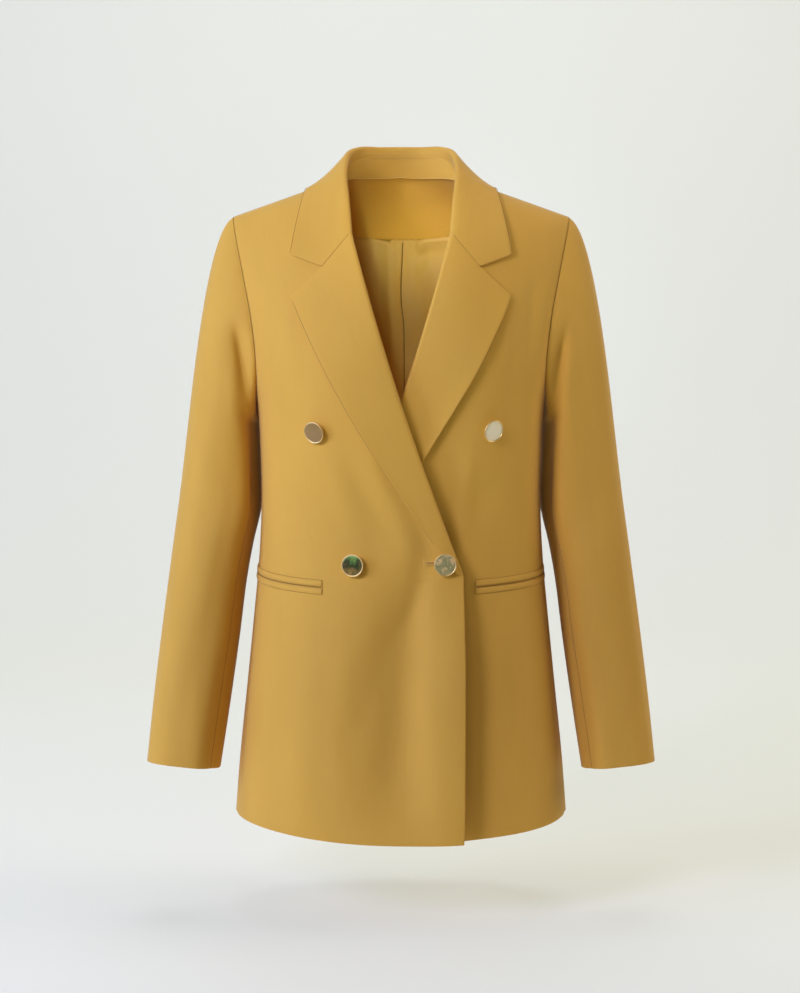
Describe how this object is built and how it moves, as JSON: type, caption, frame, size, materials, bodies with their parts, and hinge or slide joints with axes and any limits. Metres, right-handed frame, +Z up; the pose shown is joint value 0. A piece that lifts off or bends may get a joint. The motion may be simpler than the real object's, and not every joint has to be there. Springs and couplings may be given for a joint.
{
  "type": "double breasted blazer",
  "caption": "Hip-length double-breasted blazer with notched lapels, long sleeves and welted pockets, buttoned, standing open and hollow as worn.",
  "frame": {"origin": "on the centre line, level with the side neck points and 10 mm in front of the upright plane of the shoulder seams, where a wearer's shoulders and neck carry the jacket", "axes": "+Z up, -Y out of the front, -X towards the wearer's right"},
  "size_m": [0.5676, 0.2578, 0.7592],
  "materials": {
    "blazer_cloth": "fine twill, matt with a slight sheen",
    "lining_satin": "satin",
    "button_metal": "polished"
  },
  "bodies": {
    "root": {"front_right": "blazer_cloth", "side_right": "blazer_cloth", "back_right": "blazer_cloth", "lapel_right": "blazer_cloth", "sleeve_top_right": "blazer_cloth", "sleeve_under_right": "blazer_cloth", "welt_upper_right": "blazer_cloth", "welt_lower_right": "blazer_cloth", "front_left": "blazer_cloth", "side_left": "blazer_cloth", "back_left": "blazer_cloth", "lapel_left": "blazer_cloth", "sleeve_top_left": "blazer_cloth", "sleeve_under_left": "blazer_cloth", "welt_upper_left": "blazer_cloth", "welt_lower_left": "blazer_cloth", "collar_fall": "blazer_cloth", "collar_stand": "blazer_cloth", "back_neck_facing": "blazer_cloth", "lining_back": "lining_satin", "button_upper_right": "button_metal", "button_upper_left": "button_metal", "button_lower_right": "button_metal", "button_lower_left": "button_metal"}
  },
  "joints": []
}
